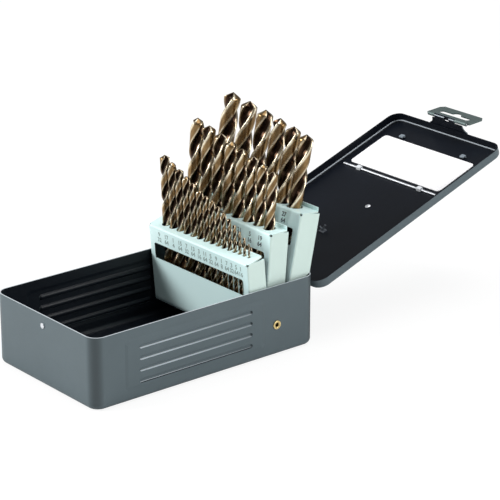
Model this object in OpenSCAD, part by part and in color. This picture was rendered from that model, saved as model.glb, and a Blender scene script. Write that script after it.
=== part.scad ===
// Steel drill bit case: tray with a hinged lid, a hanger latch, three index tiers on one pivot, 29 bits.
// Millimetres. X is width, Y runs from the latch (-Y) to the hinge (+Y), Z is up from the underside.
// Drawn as it stands open: lid back on its stop, tiers fanned up, every bit in its hole.

/* [Case tray] */
// length of the tray, latch wall to hinge wall
case_l = 190; // [184:1:230]
// width of the tray over its side walls
case_w = 115; // [113:0.5:118]
// height of the tray's rim
case_h = 51.5; // [50:0.5:60]
// sheet thickness of tray and lid
case_sheet = 0.9; // [0.7:0.05:1.1]
// plan radius of the four upright corners
case_corner_r = 9; // [8:0.5:14]
// outer radius of the bottom edge
case_edge_r = 4.2; // [1.2:0.1:4.3]

/* [Side pressings] */
// distance of the pressed panel's front end from the latch wall
panel_front = 25; // [18:1:40]
// distance of the panel's rear end from the hinge wall
panel_back = 46; // [42:1:60]
// height of the pressed panel
panel_h = 36; // [30:1:40]
// height of the pressed panel's lower edge
panel_z = 8.5; // [5:0.5:12]
// how far the panel is pressed out
panel_out = 0.4; // [0.2:0.05:0.6]
// width of the slope round the pressed panel
panel_slope = 2.2; // [1:0.1:3]
// grooves pressed into each panel
groove_n = 4; // [2:1:5]
// distance of a groove's front end from the panel's front end
groove_inset = 13; // [8:1:20]
// distance of a groove's rear end from the panel's rear end
groove_end = 13; // [8:1:20]
// height of the lowest groove
groove_z = 13.2; // [12:0.2:15]
// distance from groove to groove
groove_pitch = 8.15; // [6:0.05:8.6]
// radius of the groove's hollow
groove_r = 1.6; // [1.2:0.1:2]
// depth of a groove into the wall
groove_depth = 0.8; // [0.4:0.05:0.85]

/* [Lid] */
// depth of the lid's walls
lid_h = 7.25; // [5:0.25:10]
// gap between the closed lid's rim and the tray's rim
lid_gap = 0.32; // [0.3:0.02:0.6]
// outer radius of the lid's top edge
lid_edge_r = 2.5; // [1.5:0.1:4]
// angle the lid opens, from closed
lid_open = 160; // [120:1:165]

/* [Lid hinge] */
// distance of the hinge axis behind the tray's rear wall
hinge_back = 0.6; // [0.5:0.05:1]
// distance of the hinge axis below the tray's rim
hinge_drop = 3.9; // [3.5:0.1:5]
// radius of the hinge pin
hinge_pin_r = 0.55; // [0.45:0.05:0.55]
// outer radius of the hinge knuckles
hinge_knuckle_r = 1.5; // [1.3:0.05:1.6]
// length of the hinge strip
hinge_l = 82; // [60:1:86]
// knuckles along the hinge, odd so that the tray holds both ends
hinge_n = 5; // [3:2:9]
// thickness of the hinge leaves
leaf_t = 0.7; // [0.5:0.05:0.9]
// reach of each leaf from the hinge axis
leaf_reach = 11; // [9:0.5:14]

/* [Latch] */
// half width of the lid's tongue where it leaves the wall
tongue_base = 19.8; // [17:0.2:22]
// half width of the tongue at its knuckle side
tongue_top = 15.8; // [14:0.2:16]
// height of the tongue above the lid's rim
tongue_h = 5.3; // [4.5:0.1:5.4]
// distance of the hanger pin from the lid's rim
hanger_pin_h = 7.25; // [7.2:0.05:9]
// radius of the hanger pin
hanger_pin_r = 0.6; // [0.5:0.05:0.7]
// outer radius of the hanger knuckles
hanger_knuckle_r = 1.6; // [1.4:0.05:1.6]
// centre knuckle's left end
centre_left = -13; // [-13.5:0.1:-10]
// centre knuckle's right end
centre_right = 8; // [6:0.1:9]
// half length over the hanger's side knuckles
hanger_half = 20; // [18:0.1:20.5]
// half width of the hanger plate
plate_half = 22.5; // [21:0.25:26]
// reach of the hanger plate from its pin
plate_reach = 17; // [16:0.25:24]
// thickness of the hanger plate
plate_t = 1; // [0.8:0.05:1.1]
// corner cut of the hanger plate
plate_cut = 3.2; // [2:0.1:6]
// half length of the hanging slot
slot_half = 15.7; // [10:0.1:17]
// distance of the slot's near edge from the pin
slot_near = 5.2; // [4.6:0.1:7]
// height of the slot
slot_h = 4.6; // [4.3:0.1:5.2]
// radius of the round rise in the slot's middle
slot_hump_r = 4.6; // [3.5:0.1:5]
// drawn angle of the hanger plate back from the lid's plane
hanger_rest = 16; // [0:1:30]
// radius of the round stud on the latch wall
stud_r = 1.9; // [1.5:0.1:2]
// how far the stud stands out
stud_out = 1; // [0.8:0.05:1.05]
// distance of the stud below the tray's rim
stud_drop = 7.6; // [7:0.1:8.5]

/* [Lid fittings] */
// width of the blank index card
card_w = 96; // [80:1:98]
// height of the card
card_h = 38.8; // [30:0.2:40]
// thickness of the card
card_t = 0.5; // [0.3:0.05:0.8]
// distance of the card's far edge from the lid's front wall
card_front = 22.2; // [18:0.2:26]
// radius of the card's wire rail
rail_r = 0.8; // [0.6:0.05:1]
// length of the wire rail
rail_l = 99; // [80:1:100]
// distance of the rail from the card's near edge
rail_off = 4.5; // [3.6:0.1:6]
// half spacing of the two loops and the two card tabs
loop_half = 32.7; // [25:0.1:38]
// width of each card tab
tab_w = 4; // [3:0.5:8]
// width of each rail loop
loop_w = 4; // [3:0.5:6]
// distance of the lid's rivet from the hinge axis
rivet_at = 92; // [85:1:100]
// radius of the rivet head
rivet_r = 2; // [1.5:0.1:3]
// distance of the wire lift eye from the hinge axis
lift_at = 53.5; // [50:0.5:60]
// radius of the lift eye's wire
lift_r = 0.75; // [0.6:0.05:0.9]

/* [Pivot] */
// distance of the tiers' common pivot in front of the tray's rear wall
pivot_y = 35.5; // [34:0.1:36.5]
// height of the pivot
pivot_z = 22.8; // [22.6:0.1:23]
// outer radius of the eyelet's tube
eyelet_r = 2.4; // [2.2:0.05:2.6]
// radius of the hole through the eyelet
eyelet_hole_r = 1.6; // [1.2:0.05:1.8]
// radius of the eyelet's flange
eyelet_flange_r = 3.25; // [3:0.05:3.6]
// thickness of the eyelet's flange and of its clinched end
eyelet_flange_t = 0.8; // [0.6:0.05:1]
// radial running gap of the tiers on the eyelets, and of pins in their moving knuckles
run = 0.07; // [0.03:0.01:0.09]
// least gap between layers that slide past each other
slip = 0.3; // [0.3:0.01:0.35]

/* [Tiers] */
// sheet thickness of the tiers
tier_sheet = 0.8; // [0.6:0.05:0.85]
// gap between the tray's wall and the outermost tier's side
tier_side_gap = 1.2; // [1.15:0.05:1.4]
// bend radius of the tiers' upright edges
tier_bend_r = 1.4; // [1.2:0.1:2]
// how far the small tier's top flange springs up towards the rear
small_flange_tilt = 11; // [4:1:12]
// how far the other tiers' top flanges spring up
flange_tilt = 6; // [2:0.5:7]
// height of the lip along the rear of those flanges
lip_h = 2.6; // [1.5:0.1:3]
// radius of the relief hole at each end of a flange's bend
relief_r = 1.15; // [0.8:0.05:1.3]
// gap round each bit in its hole
hole_gap = 0.45; // [0.3:0.05:0.5]
// gap between a bit's end and the rest below it
seat_gap = 0.3; // [0.3:0.05:0.6]
// thickness of the slanted rests
rest_t = 0.8; // [0.6:0.05:1.2]

/* [Small tier] */
// lean of the small tier when up, back is positive
small_lean = -5; // [-6:0.5:-4]
// front face ahead of the pivot
small_front = 20.3; // [20:0.1:20.5]
// side rear edge ahead of the pivot
small_rear = 5.2; // [5:0.1:6]
// top height above the pivot
small_top = 50.6; // [48:0.1:52]
// depth of the bottom bend below the pivot
small_bottom = 11.2; // [10.5:0.1:11.4]
// outer radius of the bottom bend
small_bend_r = 7; // [6.8:0.1:7.4]
// row of bits ahead of the pivot
small_row = 12.2; // [12:0.1:12.6]
// clear width between the first bit and the tier's side
small_end_a = 7.8; // [6.5:0.1:8.5]
// clear width between the last bit and the tier's side
small_end_b = 6; // [5:0.1:7]
// how much wider the last gap is than the mean, and the first one narrower
small_spread = 0.4; // [0:0.05:0.45]
// how far the small bits lean back from their tier's face
small_tilt = 3; // [2:0.1:3]
// height of the rest under the first bit, from the pivot
small_rest_a = -5.2; // [-5.4:0.1:-4]
// height of the rest under the middle bit, from the pivot
small_rest_m = -5.5; // [-5.6:0.1:-2]
// height of the rest under the last bit, from the pivot
small_rest_b = 11.4; // [10:0.1:12]
// height of the small tier's printed band, above its window
small_band = 12.6; // [11:0.1:14]
// height of each tier's window
window_h = 12.2; // [8:0.1:13]
// width of the strip left at each end of a window
window_side = 5.6; // [4.5:0.1:8]

/* [Medium tier] */
// lean of the medium tier when up
medium_lean = 4.8; // [4.5:0.1:5.2]
// front face ahead of the pivot
medium_front = 7.3; // [7.2:0.05:7.4]
// side rear edge behind the pivot, upper part
medium_rear = 8.6; // [8.3:0.1:8.7]
// side rear edge behind the pivot, at the bottom
medium_rear_low = 5.8; // [5.3:0.1:5.9]
// where the slanted rear edge ends, above the pivot
medium_rear_v = 27; // [26:0.5:32]
// top height above the pivot
medium_top = 64.4; // [62:0.1:65]
// height of its printed band
medium_band = 14; // [12:0.1:16]
// bottom below the pivot
medium_bottom = 12.5; // [11.8:0.1:13]
// row of bits behind the pivot
medium_row = 0.7; // [0.5:0.05:0.8]
// clear width between the first bit and the tier's side
medium_end_a = 4.8; // [4:0.1:5.5]
// clear width between the last bit and the tier's side
medium_end_b = 6.6; // [3.5:0.1:7.5]
// height of the rest under the first bit
medium_rest_a = -9.9; // [-10:0.1:-9]
// height of the rest under the last bit
medium_rest_b = -6; // [-8:0.1:-5.5]

/* [Large tier] */
// lean of the large tier when up
large_lean = 12; // [11.8:0.1:12.4]
// front face behind the pivot
large_front = 8.2; // [8.15:0.05:8.4]
// rear edge behind the pivot
large_rear = 25.4; // [24.8:0.1:25.6]
// top height above the pivot
large_top = 78; // [76:0.1:80]
// height of its printed band
large_band = 12; // [11:0.1:16]
// bottom below the pivot
large_bottom = 13.5; // [13:0.1:14]
// row of bits behind the pivot
large_row = 16.95; // [16.6:0.05:17.1]
// clear width between the first bit and the tier's side
large_end_a = 1.4; // [1.2:0.1:3.5]
// clear width between the last bit and the tier's side
large_end_b = 10.9; // [8:0.1:12]
// how much narrower the last gap is than the mean, and the first one wider
large_spread = 0.4; // [0:0.05:0.5]
// height of the rest under the first bit
large_rest_a = -11.3; // [-11.6:0.1:-10.5]
// height of the rest under the last bit
large_rest_b = -7; // [-8:0.1:-6]

/* [Drill bits] */
// twist of the flutes, lead over diameter
bit_lead = 5.4; // [4:0.1:8]
// core of the flutes over the bit's radius
bit_core = 0.42; // [0.35:0.01:0.6]
// full angle of the point
bit_point = 118; // [90:1:135]
// fluted share of each bit's length
bit_fluted = 0.74; // [0.6:0.01:0.78]

/* [Hidden] */
inch = 25.4;

SMALL_BITS = [for (n = [18:-1:4]) n];
MEDIUM_BITS = [for (n = [26:-1:19]) n];
LARGE_BITS = [for (n = [32:-1:27]) n];

function two(n) = n < 10 ? str("0", n) : str(n);
function bit_name(n) = str("drill_", two(n), "_64");

// hinge axis and pivot axis
hinge_y = case_l / 2 + hinge_back;
hinge_z = case_h - hinge_drop;
pivot_at_y = case_l / 2 - pivot_y;
lid_rest = 180 - lid_open;
// lid space: x, distance from the hinge axis, height towards the tray; its rim and its floor
rim_n = -(hinge_drop + lid_gap);
floor_n = rim_n - lid_h;
floor_in = floor_n + case_sheet;
lid_front = hinge_y + case_l / 2;
panel_l = case_l - panel_front - panel_back;
groove_l = panel_l - groove_inset - groove_end;
card_at = case_l + hinge_back - card_front - card_h;

// side layers of the tiers, outer faces
inner_w = case_w / 2 - case_sheet;
small_side = inner_w - tier_side_gap;
large_side = small_side - tier_sheet - slip;
medium_side = large_side - tier_sheet - slip;
clinch_x = medium_side - tier_sheet - slip;

// a tray: floor and walls with round corners, open at the top
module plan(l, w, r) {
    union() {
        square([w - 2 * r, l], center = true);
        square([w, l - 2 * r], center = true);
        for (sx = [-1, 1])
            for (sy = [-1, 1])
                translate([sx * (w / 2 - r), sy * (l / 2 - r)])
                    circle(r = r, $fn = 64);
    }
}

// cross-section of a block, w wide, with round lower corners
module section(w, h, edge) {
    union() {
        translate([-w / 2, edge])
            square([w, h - edge]);
        translate([-w / 2 + edge, 0])
            square([w - 2 * edge, edge + 0.01]);
        for (s = [-1, 1])
            translate([s * (w / 2 - edge), edge])
                circle(r = edge, $fn = 48);
    }
}

module block(l, w, h, r, edge) {
    union() {
        rotate([90, 0, 0])
            linear_extrude(l - 2 * r, center = true)
                section(w, h, edge);
        rotate([90, 0, 90])
            linear_extrude(w - 2 * r, center = true)
                section(l, h, edge);
        for (sx = [-1, 1])
            for (sy = [-1, 1])
                translate([sx * (w / 2 - r), sy * (l / 2 - r), 0])
                    rotate_extrude($fn = 64)
                        intersection() {
                            section(2 * r, h, edge);
                            square([r, h]);
                        }
    }
}

module tray(l, w, h, r, edge, s) {
    difference() {
        block(l, w, h, r, edge);
        translate([0, 0, s])
            block(l - 2 * s, w - 2 * s, h, r - s, edge - s);
    }
}

// a rod along Y with round ends, from y to y + l
module capsule(r, l) {
    rotate([-90, 0, 0])
        cylinder(r = r, h = l, $fn = 32);
    sphere(r = r, $fn = 32);
    translate([0, l, 0])
        sphere(r = r, $fn = 32);
}

module pressed(grow) {
    for (sx = [-1, 1])
        translate([sx * (case_w / 2 + panel_out), -case_l / 2 + panel_front + groove_inset, groove_z])
            for (i = [0 : groove_n - 1])
                translate([sx * (groove_r - groove_depth - panel_out), 0, i * groove_pitch])
                    capsule(groove_r + grow, groove_l);
}

// raised panel on both sides: a slab from x_in to the wall's plane, then a slope up to its face
module panel(x_in, x_wall) {
    y0 = -case_l / 2 + panel_front;
    z0 = panel_z;
    function ring(x, d) = [
        [x, y0 + d + panel_slope, z0 + d], [x, y0 + panel_l - d - panel_slope, z0 + d],
        [x, y0 + panel_l - d, z0 + d + panel_slope], [x, y0 + panel_l - d, z0 + panel_h - d - panel_slope],
        [x, y0 + panel_l - d - panel_slope, z0 + panel_h - d], [x, y0 + d + panel_slope, z0 + panel_h - d],
        [x, y0 + d, z0 + panel_h - d - panel_slope], [x, y0 + d, z0 + d + panel_slope]
    ];
    function walls(a, b) = [for (j = [0 : 7]) [a + j, a + (j + 1) % 8, b + (j + 1) % 8, b + j]];
    for (side = [0, 1])
        mirror([side, 0, 0])
            polyhedron(
                concat(ring(x_in, 0), ring(x_wall, 0), ring(x_wall + panel_out, panel_slope)),
                concat([[for (j = [0 : 7]) j]], [[for (j = [7 : -1 : 0]) 16 + j]],
                       [for (f = concat(walls(0, 8), walls(8, 16))) [f[3], f[2], f[1], f[0]]])
            );
}

module case_body() {
    color([0.40, 0.44, 0.47])
    difference() {
        union() {
            difference() {
                union() {
                    tray(case_l, case_w, case_h, case_corner_r, case_edge_r, case_sheet);
                    panel(case_w / 2 - case_sheet / 2, case_w / 2);
                }
                panel(case_w / 2 - 2 * case_sheet, case_w / 2 - case_sheet);
            }
            intersection() {
                pressed(case_sheet);
                panel(case_w / 2 - 3 * case_sheet, case_w / 2);
            }
        }
        pressed(0);
        translate([0, pivot_at_y, pivot_z])
            rotate([0, 90, 0])
                cylinder(r = eyelet_r, h = case_w + 4, center = true, $fn = 64);
        // windows in the rear wall for the lid's knuckles
        for (i = [1 : 2 : hinge_n - 1])
            translate([knuckle_x(i), case_l / 2 - case_sheet / 2, hinge_z])
                cube([knuckle_l + 3 * slip, 3 * case_sheet, 2 * (hinge_knuckle_r + slip)], center = true);
        // seat of the stud
        translate([0, -case_l / 2, case_h - stud_drop])
            rotate([90, 0, 0])
                cylinder(r = stud_r / 2, h = 4 * case_sheet, center = true, $fn = 32);
    }
}

// stud: a dome pushed through the latch wall and headed over inside
module front_stud() {
    color([0.85, 0.86, 0.88])
    translate([0, -case_l / 2, case_h - stud_drop])
        rotate([90, 0, 0]) {
            intersection() {
                cylinder(r = stud_r, h = stud_out, $fn = 48);
                translate([0, 0, stud_out - 2.6 * stud_r])
                    sphere(r = 2.6 * stud_r, $fn = 64);
            }
            translate([0, 0, -case_sheet - stud_out / 2])
                cylinder(r = stud_r / 2, h = case_sheet + stud_out / 2 + 0.01, $fn = 32);
            translate([0, 0, -case_sheet - stud_out / 2])
                cylinder(r = stud_r, h = stud_out / 2, $fn = 48);
        }
}

// tubular rivet: tube, flange outside the wall, clinched ring inside the innermost tier
module eyelet(side) {
    tube_end = clinch_x - eyelet_flange_t;
    flange_edge = eyelet_flange_r - eyelet_flange_t / 2;
    translate([0, pivot_at_y, pivot_z])
        rotate([0, side * 90, 0])
            rotate_extrude($fn = 64)
                difference() {
                    union() {
                        translate([eyelet_hole_r, tube_end])
                            square([eyelet_r - eyelet_hole_r, case_w / 2 + eyelet_flange_t - tube_end]);
                        translate([eyelet_hole_r, case_w / 2])
                            square([flange_edge - eyelet_hole_r, eyelet_flange_t]);
                        translate([flange_edge, case_w / 2 + eyelet_flange_t / 2])
                            circle(r = eyelet_flange_t / 2, $fn = 32);
                        translate([eyelet_hole_r, tube_end])
                            square([eyelet_flange_r - eyelet_hole_r, eyelet_flange_t]);
                    }
                    // countersunk mouth
                    translate([eyelet_hole_r, case_w / 2 + eyelet_flange_t])
                        circle(r = eyelet_flange_t / 2, $fn = 32);
                }
}

module eyelet_right() {
    color([0.83, 0.68, 0.32])
    eyelet(1);
}

module eyelet_left() {
    color([0.83, 0.68, 0.32])
    eyelet(-1);
}

// knuckle i of the hinge: even ones belong to the tray, odd ones to the lid
knuckle_pitch = hinge_l / hinge_n;
knuckle_l = knuckle_pitch - slip - 0.1;

function knuckle_x(i) = (i - (hinge_n - 1) / 2) * knuckle_pitch;

module knuckles(first, bore) {
    for (i = [first : 2 : hinge_n - 1])
        translate([knuckle_x(i), 0, 0])
            rotate([0, 90, 0])
                difference() {
                    cylinder(r = hinge_knuckle_r, h = knuckle_l, center = true, $fn = 48);
                    cylinder(r = bore, h = knuckle_l + 1, center = true, $fn = 48);
                }
}

// straps from the knuckles to a leaf, which starts at `near` from the axis
leaf_near = 2 * hinge_knuckle_r + slip;

module straps(first, y0, y1) {
    for (i = [first : 2 : hinge_n - 1])
        translate([knuckle_x(i) - knuckle_l / 2, y0, 0])
            cube([knuckle_l, y1 - y0, leaf_near + 0.5]);
}

module hinge_leaf_case() {
    color([0.46, 0.50, 0.53])
    translate([0, hinge_y, hinge_z])
        mirror([0, 0, 1])
            difference() {
                union() {
                    knuckles(0, hinge_pin_r);
                    straps(0, -hinge_back, leaf_t - hinge_back);
                    translate([-hinge_l / 2, -hinge_back, leaf_near])
                        cube([hinge_l, leaf_t, leaf_reach - leaf_near]);
                }
                rotate([0, 90, 0])
                    cylinder(r = hinge_pin_r, h = hinge_l + 2, center = true, $fn = 48);
                translate([-hinge_l / 2 - 1, -hinge_back - case_sheet - 3, -leaf_reach])
                    cube([hinge_l + 2, case_sheet + 3, 3 * leaf_reach]);
            }
}

module lid_place() {
    translate([0, hinge_y, hinge_z])
        rotate([lid_rest, 0, 0])
            children();
}

// the lid's leaf: stands slip clear of the lid's wall and steps in to it above the rim; its inner
// face stays clear of the tray's leaf however far the lid opens
module hinge_leaf_lid() {
    back_of_wall = hinge_back;
    clear_y = hinge_back - slip - 0.05;
    near_y = max(clear_y - leaf_t,
        (leaf_t - hinge_back + 0.1 - leaf_near * sin(lid_rest)) / cos(lid_rest));
    color([0.46, 0.50, 0.53])
    lid_place()
        mirror([0, 0, 1])
            difference() {
                union() {
                    knuckles(1, hinge_pin_r + run);
                    straps(1, near_y, clear_y);
                    translate([-hinge_l / 2, near_y, leaf_near])
                        cube([hinge_l, clear_y - near_y, leaf_reach - leaf_near - lid_edge_r / 2]);
                    translate([-hinge_l / 2, near_y, -rim_n + 0.2])
                        cube([hinge_l, back_of_wall - near_y, 2]);
                }
                rotate([0, 90, 0])
                    cylinder(r = hinge_pin_r + run, h = hinge_l + 2, center = true, $fn = 48);
            }
}

module hinge_pin() {
    head = 0.6;
    color([0.75, 0.76, 0.78])
    translate([0, hinge_y, hinge_z]) {
        rotate([0, 90, 0])
            cylinder(r = hinge_pin_r, h = hinge_l, center = true, $fn = 48);
        // peened heads, flat where they face the wall
        for (m = [-1, 1])
            intersection() {
                translate([m * (hinge_l / 2 - slip / 2 + head / 2 - 0.05), 0, 0])
                    rotate([0, 90, 0])
                        cylinder(r = hinge_knuckle_r - 0.2, h = head, center = true, $fn = 48);
                translate([m * hinge_l / 2, hinge_knuckle_r - hinge_back + 0.05, 0])
                    cube([4 * head, 2 * hinge_knuckle_r, 4 * hinge_knuckle_r], center = true);
            }
    }
}

// lid: shallow tray, tongue and centre knuckle, two loops for the rail, two card tabs
tongue_in = lid_front + slip + 0.05;
pin_t = tongue_in + hanger_knuckle_r;
pin_n = rim_n + hanger_pin_h;

module tongue() {
    difference() {
        union() {
            // plate with flared sides
            translate([0, tongue_in + case_sheet, rim_n])
                rotate([90, 0, 0])
                    linear_extrude(case_sheet)
                        difference() {
                            translate([-tongue_base, -1.6])
                                square([2 * tongue_base, tongue_h + 1.6]);
                            for (s = [-1, 1])
                                translate([s * (tongue_top + tongue_h), tongue_h])
                                    circle(r = tongue_h, $fn = 64);
                        }
            // joggle into the lid's wall
            translate([-tongue_base, lid_front - case_sheet / 2, rim_n - 1.6])
                cube([2 * tongue_base, tongue_in - lid_front + case_sheet, 1.2]);
            // curl of the centre knuckle
            translate([centre_left, pin_t, pin_n])
                rotate([0, 90, 0])
                    cylinder(r = hanger_knuckle_r, h = centre_right - centre_left, $fn = 48);
            translate([centre_left, tongue_in, rim_n + tongue_h - 0.5])
                cube([centre_right - centre_left, case_sheet, hanger_pin_h - tongue_h + 0.5]);
        }
        translate([centre_left - 1, pin_t, pin_n])
            rotate([0, 90, 0])
                cylinder(r = hanger_pin_r, h = centre_right - centre_left + 2, $fn = 48);
        // slot in the back of the curl, which snaps over the stud
        translate([-stud_r - slip - 0.1, pin_t - 2 * hanger_knuckle_r - hanger_pin_r, rim_n + tongue_h - 0.1])
            cube([2 * (stud_r + slip + 0.1), 2 * hanger_knuckle_r, 3 * hanger_knuckle_r]);
    }
}

module rail_loop() {
    span = 2 * rail_r + 1.7;
    translate([-loop_w / 2, -span / 2, 0])
        difference() {
            cube([loop_w, span, 2 * rail_r + 0.9]);
            translate([-1, 0.8, -0.1])
                cube([loop_w + 2, span - 1.6, 2 * rail_r + 0.25]);
        }
}

module card_tab() {
    translate([-tab_w / 2, 0, 0])
        cube([tab_w, 0.8, 2]);
    translate([-tab_w / 2, -2.4, 1.2])
        cube([tab_w, 3.2, 0.8]);
}

module lid_shell() {
    color([0.22, 0.26, 0.30])
    lid_place() {
        translate([0, hinge_y, floor_n])
            tray(case_l, case_w, lid_h, case_corner_r, lid_edge_r, case_sheet);
        tongue();
        for (s = [-1, 1]) {
            translate([s * loop_half, card_at - rail_off, floor_in - 0.05])
                rail_loop();
            translate([s * loop_half, card_at + card_h + 4, floor_in - 0.05])
                card_tab();
        }
    }
}

module label_card() {
    color([0.97, 0.97, 0.98])
    lid_place()
        translate([0, card_at + card_h / 2, floor_in])
            linear_extrude(card_t)
                plan(card_h, card_w, 3);
}

module label_rail() {
    color([0.75, 0.77, 0.80])
    lid_place()
        translate([-rail_l / 2, card_at - rail_off, floor_in + rail_r])
            rotate([0, 90, 0])
                cylinder(r = rail_r, h = rail_l, $fn = 32);
}

module lid_rivet() {
    color([0.75, 0.77, 0.80])
    lid_place()
        translate([11, rivet_at, floor_in])
            intersection() {
                cylinder(r = rivet_r, h = 0.9, $fn = 48);
                translate([0, 0, 0.9 - 2 * rivet_r])
                    sphere(r = 2 * rivet_r, $fn = 64);
            }
}

// lift eye: a foot on the lid's floor and a bent wire
module lift_eye() {
    color([0.80, 0.82, 0.85])
    lid_place()
        translate([2.5, lift_at, floor_in]) {
            translate([0, 0, 0.3])
                cube([5, 4, 0.6], center = true);
            translate([0, 0, lift_r + 0.1])
                rotate([0, -38, 0])
                    cylinder(r = lift_r, h = 3.4, $fn = 24);
            translate([0, 0, lift_r + 0.1])
                rotate([-30, 30, 0])
                    cylinder(r = lift_r, h = 4.6, $fn = 24);
            translate([0, 0, lift_r + 0.1])
                sphere(r = lift_r + 0.06, $fn = 24);
        }
}

// hanger: two side knuckles and a plate with a hanging slot
module hanger_knuckle(x0, x1) {
    translate([x0, 0, 0])
        rotate([0, 90, 0])
            cylinder(r = hanger_knuckle_r, h = x1 - x0, $fn = 48);
}

module hang_tab() {
    near = hanger_knuckle_r + slip + 0.1;
    gap = slip + 0.1;
    color([0.52, 0.58, 0.58])
    lid_place()
        translate([0, pin_t, pin_n])
            rotate([-hanger_rest, 0, 0])
                difference() {
                    union() {
                        hanger_knuckle(-hanger_half, centre_left - gap);
                        hanger_knuckle(centre_right + gap, hanger_half);
                        translate([0, 0, -plate_t / 2])
                            linear_extrude(plate_t)
                                difference() {
                                    polygon([
                                        [-plate_half, 0],
                                        [-plate_half, plate_reach - plate_cut],
                                        [-plate_half + plate_cut * 0.85, plate_reach],
                                        [plate_half - plate_cut * 0.85, plate_reach],
                                        [plate_half, plate_reach - plate_cut],
                                        [plate_half, 0]
                                    ]);
                                    translate([centre_left - gap, -1])
                                        square([centre_right - centre_left + 2 * gap, near + 1]);
                                    hanging_slot();
                                }
                    }
                    rotate([0, 90, 0])
                        cylinder(r = hanger_pin_r + run, h = 3 * hanger_half, center = true, $fn = 48);
                }
}

module hanging_slot() {
    mid = slot_near + slot_h / 2;
    for (s = [-1, 1])
        translate([s * (slot_half - slot_h / 2), mid])
            circle(r = slot_h / 2, $fn = 32);
    translate([-slot_half + slot_h / 2, slot_near])
        square([2 * slot_half - slot_h, slot_h]);
    translate([0, slot_near + slot_h - slot_hump_r * 0.35])
        intersection() {
            circle(r = slot_hump_r, $fn = 64);
            translate([-slot_hump_r, 0])
                square([2 * slot_hump_r, slot_hump_r]);
        }
}

module hang_tab_pin() {
    color([0.75, 0.76, 0.78])
    lid_place()
        translate([0, pin_t, pin_n])
            rotate([0, 90, 0])
                cylinder(r = hanger_pin_r, h = 2 * hanger_half + 0.8, center = true, $fn = 48);
}

// index tiers. Tier space: x, depth behind the pivot, height above it.
module tier_place(lean) {
    translate([0, pivot_at_y, pivot_z])
        rotate([-lean, 0, 0])
            children();
}

function bit_d(n) = n * inch / 64;

// length of a jobber bit of n sixty-fourths
function bit_l(n) = inch * (n >= 12 ? 2 + n / 8 : 1.75 + (n - 3) * 0.2);

// bits stand side by side between the tier's sides: the gaps share what the bits leave of the row
function sum_d(bits, i = 0) = i == len(bits) ? 0 : bit_d(bits[i]) + sum_d(bits, i + 1);
function gap_at(i, count, mean, spread) = mean * (1 + spread * (2 * i / max(count - 2, 1) - 1));
function mean_gap(bits, hw, ea, eb) = (2 * (hw - tier_sheet) - ea - eb - sum_d(bits)) / (len(bits) - 1);
function place_x(bits, i, hw, ea, eb, spread) = i == 0
    ? -hw + tier_sheet + ea + bit_d(bits[0]) / 2
    : place_x(bits, i - 1, hw, ea, eb, spread) + (bit_d(bits[i - 1]) + bit_d(bits[i])) / 2
        + gap_at(i - 1, len(bits), mean_gap(bits, hw, ea, eb), spread);
function places(bits, hw, ea, eb, spread) =
    [for (i = [0 : len(bits) - 1]) place_x(bits, i, hw, ea, eb, spread)];

SMALL_XS = places(SMALL_BITS, small_side, small_end_a, small_end_b, small_spread);
MEDIUM_XS = places(MEDIUM_BITS, medium_side, medium_end_a, medium_end_b, 0);
LARGE_XS = places(LARGE_BITS, large_side, large_end_a, large_end_b, -large_spread);

// rest heights under the first, middle and last bit of each tier
SMALL_REST = [small_rest_a, small_rest_m, small_rest_b];
MEDIUM_REST = [medium_rest_a, (medium_rest_a + medium_rest_b) / 2, medium_rest_b];
LARGE_REST = [large_rest_a, (large_rest_a + large_rest_b) / 2, large_rest_b];

// height of a rest's upper face at x, and of the lower end of a bit that stands on it
function rest_mid(xs) = (xs[0] + xs[len(xs) - 1]) / 2;
function rest_v(x, xs, v) = x < rest_mid(xs)
    ? v[0] + (v[1] - v[0]) * (x - xs[0]) / (rest_mid(xs) - xs[0])
    : v[1] + (v[2] - v[1]) * (x - rest_mid(xs)) / (xs[len(xs) - 1] - rest_mid(xs));
function bit_v(n, x, xs, v) = rest_v(x + bit_d(n) / 2, xs, v) + seat_gap;

// side view outline, front face at w = f, rear edge at r, from b to t
module side_outline(f, r, b, t, rt, rb) {
    union() {
        translate([f, b + rb])
            square([r - f, t - b - rt - rb]);
        translate([f + rb, b])
            square([r - f - rb, rb + 0.01]);
        translate([f + rt, t - rt - 0.01])
            square([r - f - rt, rt + 0.01]);
        translate([f + rb, b + rb])
            circle(r = rb, $fn = 64);
        translate([f + rt, t - rt])
            circle(r = rt, $fn = 48);
    }
}

// block with the outline above, half width hw, and round upright front edges
module tier_block(hw, f, r, b, t, rt, rb, re) {
    intersection() {
        translate([-hw, 0, 0])
            rotate([90, 0, 90])
                linear_extrude(2 * hw)
                    side_outline(f, r, b, t, rt, rb);
        translate([0, 0, b - 1])
            linear_extrude(t - b + 2)
                union() {
                    translate([-hw, f + re])
                        square([2 * hw, r - f - re + 1]);
                    translate([-hw + re, f])
                        square([2 * (hw - re), re + 0.01]);
                    for (s = [-1, 1])
                        translate([s * (hw - re), f + re])
                            circle(r = re, $fn = 48);
                }
    }
}

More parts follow.
